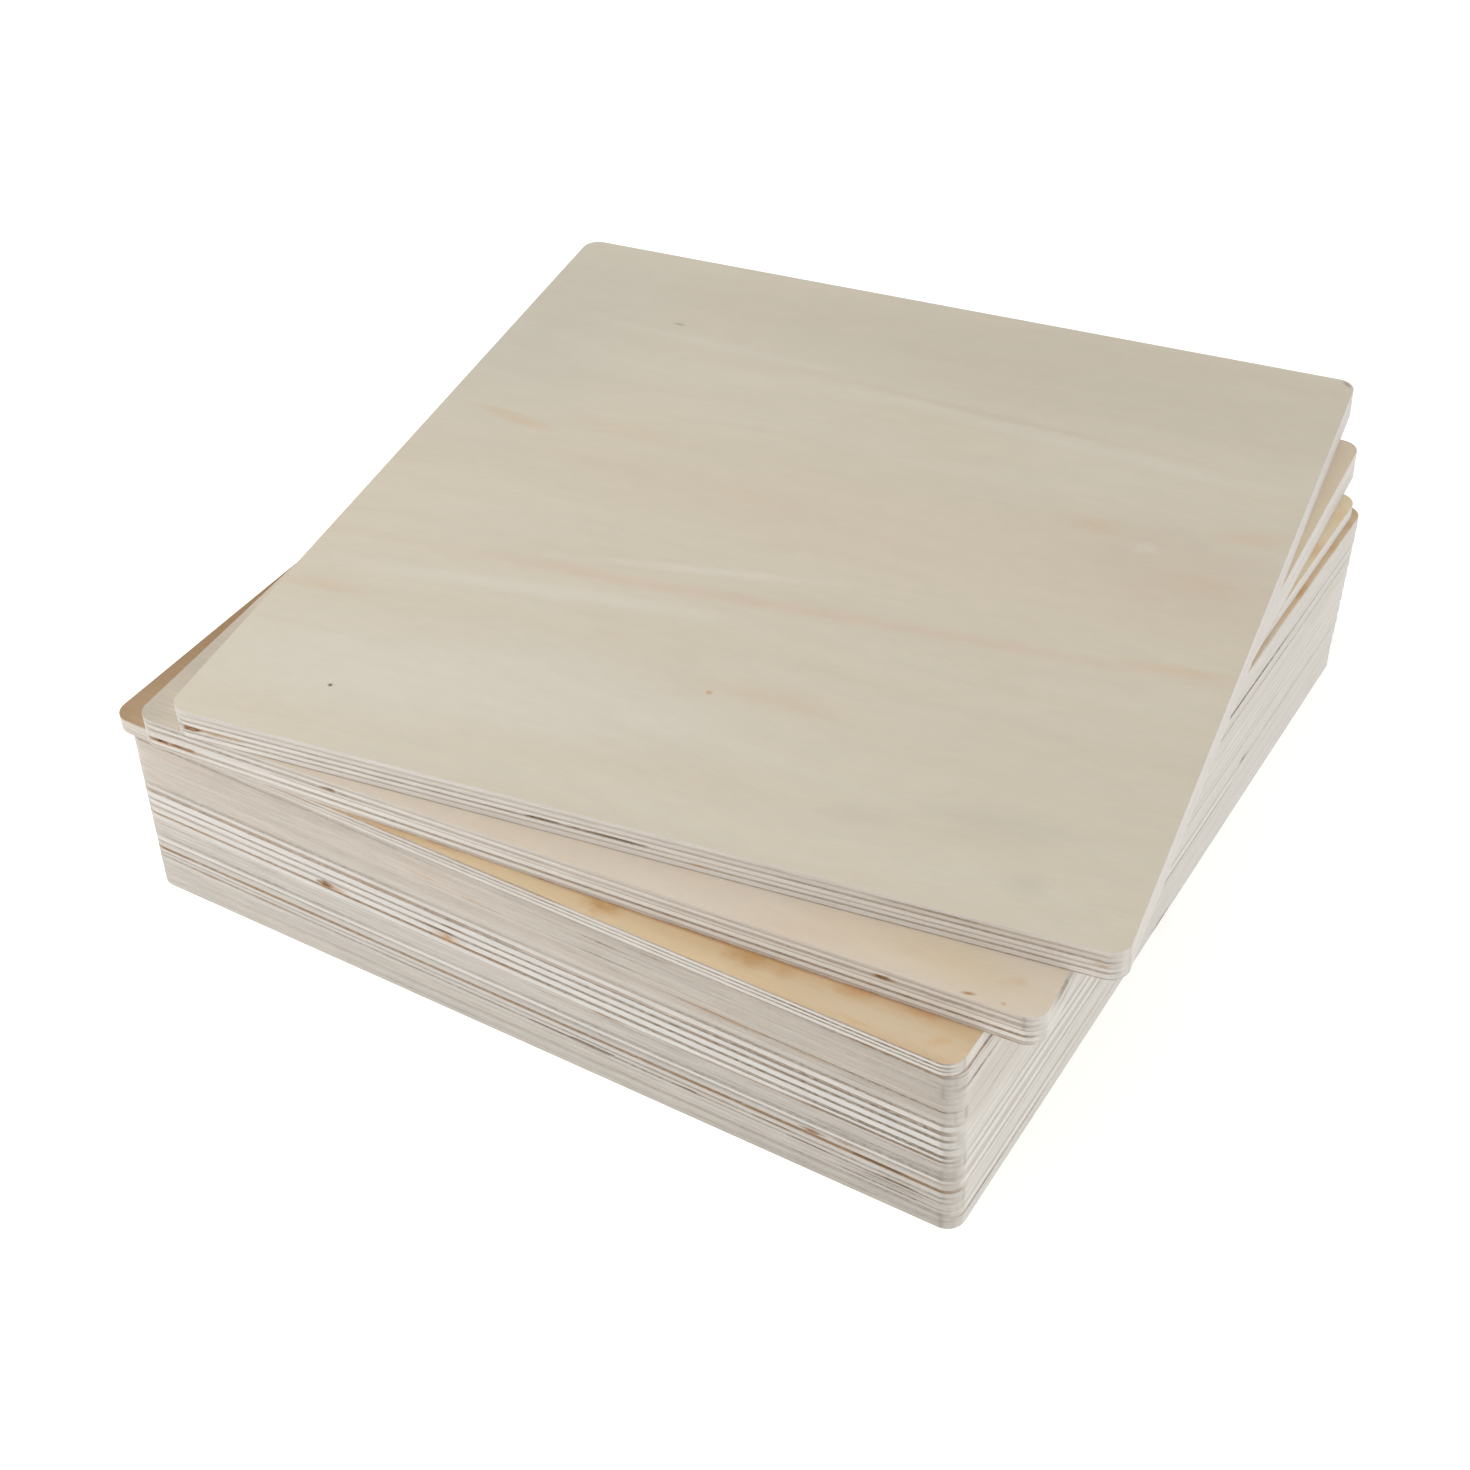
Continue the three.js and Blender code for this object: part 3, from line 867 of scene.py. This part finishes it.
# Marks on the faces: the sheet, x, y, half length, half width, turn, strength, colour; some are painted
# light and shade
PALE_MARKS = (
    (18, 30, 8, 240, 52, -4, 0.5, "#b5a795"),
    # painted shade: the back of the top face drawn darker
    (18, 20, 120, 260, 50, -3, 0.55, "#aaa293"),
    (18, -140, 80, 70, 100, 0, 0.4, "#a4a195"),
    (18, 120, 20, 60, 42, -5, 0.35, "#ab9c8b"),
    (18, 40, 86, 130, 3.5, -3.3, 0.3, "#a99a89"),
    (18, 60, 79, 120, 5, -4, 0.35, "#b7b3a7"),
    (18, -70, 96, 70, 4, -3, 0.25, "#b6b3a8"),
    (18, -70, -108, 130, 36, 6, 0.45, "#bcb8ae"),
    (18, 110, -110, 80, 50, 0, 0.3, "#aea593"),
    (18, 100, -112, 34, 12, 4, 0.2, "#9d978b"),
    (18, 64, -122, 22, 9, 8, 0.15, "#9d978b"),
    (18, -122, 28, 26, 4.5, -10, 0.3, "#b18e65"),
    (18, -85, 34, 40, 6, -2, 0.15, "#b59c81"),
    (18, 88, 36, 16, 6, -8, 0.2, "#b18e6c"),
    (18, 138, 46, 20, 7, 8, 0.25, "#b1906e"),
    (18, 128, 16, 22, 8, 0, 0.15, "#b39579"),
    (18, 106, 29, 7, 5, 0, 0.3, "#bfbaaf"),
    (18, 10, -40, 230, 5, 4.2, 0.3, "#b49985"),
    (18, 132, -28, 30, 4, 6, 0.25, "#b1926f"),
    (18, -60, -47, 90, 5, 5, 0.2, "#b8a291"),
    (18, -23, -31, 70, 3.6, 10.5, 0.35, "#c2bcb1"),
    (18, -80, -60, 100, 6, 7, 0.3, "#c3beb5"),
    (18, -136, -80, 26, 5, 3, 0.2, "#b18e69"),
    (18, 20, -83, 44, 9, 2, 0.2, "#b4997b"),
    (18, 1.7, -87, 1.8, 1.5, 0, 0.6, "#9f7439"),
    (18, -108.3, -123.7, 1.2, 1.1, 0, 1.0, "#3b342b"),
    (18, -91.7, 104.3, 3.6, 1.1, -4, 0.6, "#7a7368"),
    (18, 117, -133, 10, 7, 20, 0.2, "#979084"),
    (18, 147, 147.4, 3.8, 1.3, -45, 0.7, "#77716a"),
)
CREAM_MARKS = (
    (16, 126, -140, 34, 13, -8, 0.5, "#b5a586"),
    (16, 100, -140, 40, 12, 5, 0.3, "#bba583"),
    (16, 128, -148.1, 3.0, 0.9, 12, 0.9, "#8d6234"),
    (16, 138, -147.6, 1.2, 0.8, 0, 0.6, "#a67442"),
    (16, 138, -139, 5, 2.5, 20, 0.25, "#ad8350"),
    (16, -120, -140, 60, 40, 0, 0.4, "#b8b09e"),
    (16, -150, -149, 20, 16, 0, 0.6, "#9d9688"),
    (16, -150, -118, 24, 56, 0, 0.58, "#9a9285"),
    # painted light: the strip beside the right edge drawn lighter where the sheets above overhang it
    (16, 150, 90, 30, 140, 0, 1.0, "#cdbda5"),
)
GOLDEN_MARKS = (
    (14, 125, -144, 44, 9, 0, 0.7, "#bbab93"),
    (14, -10, -148, 76, 7, 2, 0.65, "#c1ae8f"),
    (14, 60, -149, 60, 5, 2, 0.4, "#c9b28e"),
    (14, -40, -148, 70, 6, 2, 0.5, "#c0a985"),
    (14, -60, -150.5, 80, 2.4, 4.3, 0.5, "#a98a62"),
    # partly orange-brown stain, partly painted contact shadow along the edge of sheet 15
    (14, 80, -141, 130, 5, 4.3, 0.2, "#b98a4a"),
    (14, 80, -139.1, 120, 1.7, 4.3, 0.75, "#8e5f2c"),
    (14, -22, -146.8, 9, 2.0, 4, 0.35, "#9b672b"),
    (14, 32.6, -144.6, 10, 5, 4, 0.6, "#9a6e2c"),
    (14, 80, -141.6, 11, 6, 8, 0.55, "#9a6e2c"),
    (14, 91, -141, 6, 5, 0, 0.35, "#a0763c"),
    (14, 112, -138.4, 9, 4, 6, 0.4, "#a87338"),
    (14, 133, -136, 7, 3, 6, 0.45, "#a87338"),
    (14, 118, -147.5, 9, 1.6, 0, 0.3, "#b98a50"),
    (14, 141, -143, 5, 3, 40, 0.35, "#b98a50"),
    # painted shade: the left strip of the golden face drawn darker
    (14, -150, -80, 40, 200, 0, 1.0, "#8a6f50"),
    (14, -148, -150, 12, 8, 0, 0.3, "#846646"),
    # painted light: the strip beside the right edge drawn lighter where the sheets above overhang it
    (14, 150, 110, 30, 220, 0, 1.0, "#d3c2a4"),
    (14, 146, 45, 4, 16, 0, 0.5, "#c9945a"),
    (14, 148.5, 92, 3.5, 7, 0, 0.35, "#d9bd7f"),
    (14, 148.5, 114, 3, 9, 0, 0.4, "#c9945a"),
    (14, 148.5, 137, 3, 5, 0, 0.25, "#d0a066"),
    (13, 0, -146, 190, 12, 0, 0.8, "#a68561"),
    # painted light: the strip beside the right edge drawn lighter where the sheets above overhang it
    (13, 152, 80, 26, 140, 0, 0.95, "#c8ae8d"),
    (13, 149.5, 66, 5, 24, 0, 0.5, "#cfc4b4"),
    (13, 150.2, 60, 1.2, 170, 0, 0.9, "#d3cdc2"),
    (13, 148.6, 96, 3, 7, 0, 0.5, "#b0793f"),
    (13, 149, 124, 2.6, 5, 0, 0.4, "#bb8850"),
    (13, 149, 139, 2.6, 3.5, 0, 0.3, "#a8794a"),
)

pale_birch = veneer(
    "birch_veneer_rotary_cut_pale", pale="#b8b1a1", mid="#b0a797", warm="#b5a08b", stain="#b09981",
    stain_mix=0.1, marks=PALE_MARKS,
)
cream_birch = veneer(
    "birch_veneer_rotary_cut_cream", pale="#c1b5a6", mid="#b7ab9b", warm="#b9a48c", stain="#b59c7f",
    stain_mix=0.15, marks=CREAM_MARKS,
)
golden_birch = veneer(
    "birch_veneer_rotary_cut_golden", pale="#beab90", mid="#b39c7a", warm="#ad8e5f", stain="#a77a48",
    stain_mix=0.45, marks=GOLDEN_MARKS,
)
birch_edge = cut_edge()

places = flush([place_of(node) for node in NAMES])
for number, (node, place) in enumerate(zip(NAMES, places), 1):
    is_golden = number in GOLDEN_SHEETS
    face = golden_birch if is_golden else cream_birch if number in CREAM_SHEETS else pale_birch
    piece = build_sheet(place, number, face, birch_edge)
    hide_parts(node)
    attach(piece, "root")
    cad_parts[node].data.materials.clear()
    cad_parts[node].data.materials.append(face)

# ---------------------------------------------------------------- floor, light and camera

FLOOR_RADIUS = 4.0  # in metres
FLOOR_GLOW = 0.17  # the light that comes up through the floor
SKY_GLOW = 0.9  # and the light that comes from all round


def studio_floor():
    """A round, pale floor that fills the camera's view: rings of a disc, as a function of angle
    and distance. Opal acrylic, cast matt and lit from below, gives the eye a seamless white that
    still takes a soft shadow."""
    turns, rings = 96, 10
    angle = np.arange(turns) / turns * 2 * math.pi
    far = np.linspace(0, 1, rings + 1)[1:] ** 2 * FLOOR_RADIUS
    points = np.stack([
        (far[:, None] * np.cos(angle)).ravel(), (far[:, None] * np.sin(angle)).ravel(),
        np.zeros(turns * rings),
    ], 1)
    points = np.concatenate([points, [[0, 0, 0]]])
    ring, spoke = (v.ravel() for v in np.meshgrid(np.arange(rings - 1), np.arange(turns), indexing="ij"))
    here, after = ring * turns + spoke, ring * turns + (spoke + 1) % turns
    quads = np.stack([here, here + turns, after + turns, after], 1)
    spoke = np.arange(turns)
    fans = np.stack([spoke, (spoke + 1) % turns, 0 * spoke + turns * rings], 1)
    mesh = bpy.data.meshes.new("studio_floor")
    mesh.from_pydata(points.tolist(), [], quads.tolist() + fans.tolist())
    material, tree = new_material("opal_acrylic_lit_from_below")
    tooth = grain(tree, add(tree, "ShaderNodeTexCoord").outputs["Object"], 3, 3, detail=2.0)
    white = {FACTOR: tooth, UNDER: srgb("#f8f8f7"), OVER: srgb("#fbfbfa")}
    finish(tree, {
        "Base Color": add(tree, "ShaderNodeMix", white, **COLOURS),
        "Roughness": 0.9,
        "Specular IOR Level": 0.1,
        "Emission Color": srgb("#ffffff"),
        "Emission Strength": FLOOR_GLOW,
    })
    mesh.materials.append(material)
    piece = bpy.data.objects.new("studio_floor", mesh)
    bpy.context.scene.collection.objects.link(piece)
    return piece


def direction(azimuth, elevation):
    """A unit vector out from the stack, from degrees. Azimuth 0 is in front, 90 on the right."""
    a, e = math.radians(azimuth), math.radians(elevation)
    return Vector((math.sin(a) * math.cos(e), -math.cos(a) * math.cos(e), math.sin(e)))


def softbox(name, azimuth, elevation, distance, size, power):
    """A square softbox aimed at the middle of the stack, in degrees, metres and watts."""
    out = direction(azimuth, elevation)
    data = bpy.data.lights.new(name, "AREA")
    data.size = size
    data.energy = power
    lamp = bpy.data.objects.new(name, data)
    aimed = out.to_track_quat("Z", "Y").to_matrix().to_4x4()
    lamp.matrix_world = Matrix.Translation(out * distance) @ aimed
    bpy.context.scene.collection.objects.link(lamp)


studio_floor()

scene = bpy.context.scene
scene.view_settings.view_transform = "Standard"
world = bpy.data.worlds.new("studio")
scene.world = world
world.use_nodes = True
world.node_tree.nodes["Background"].inputs["Color"].default_value = srgb("#ffffff")
world.node_tree.nodes["Background"].inputs["Strength"].default_value = SKY_GLOW

softbox("softbox_left", azimuth=-50, elevation=38, distance=1.3, size=0.9, power=8.4)
softbox("softbox_low", azimuth=-60, elevation=10, distance=0.8, size=0.4, power=1.8)
softbox("softbox_right", azimuth=80, elevation=20, distance=2.0, size=1.2, power=17)

# The camera: where it stands, as a direction from the stack, and what it frames.
AZIMUTH, ELEVATION, ROLL = 30.796, 39.207, -1.19  # in degrees
DISTANCE = 864.8 * MM
AIM = Vector((1.75, 23.14, 30.0)) * MM
SENSOR = 36.0  # in mm
FRAME_PIXELS = 1470
FOCAL_PIXELS = 2475.0
SHIFT = -0.05  # the frame moves left and down by this share of its width

back = direction(AZIMUTH, ELEVATION)
right = Vector((0, 0, 1)).cross(back).normalized()
up = back.cross(right)
roll = math.radians(ROLL)
turned_right = right * math.cos(roll) + up * math.sin(roll)
turned_up = up * math.cos(roll) - right * math.sin(roll)
camera_data = bpy.data.cameras.new("camera")
camera_data.sensor_width = SENSOR
camera_data.lens = SENSOR * FOCAL_PIXELS / FRAME_PIXELS
camera_data.shift_x = SHIFT
camera_data.shift_y = SHIFT
camera = bpy.data.objects.new("camera", camera_data)
facing = Matrix((turned_right, turned_up, back)).transposed().to_4x4()
camera.matrix_world = Matrix.Translation(AIM + back * DISTANCE) @ facing
scene.collection.objects.link(camera)
scene.camera = camera
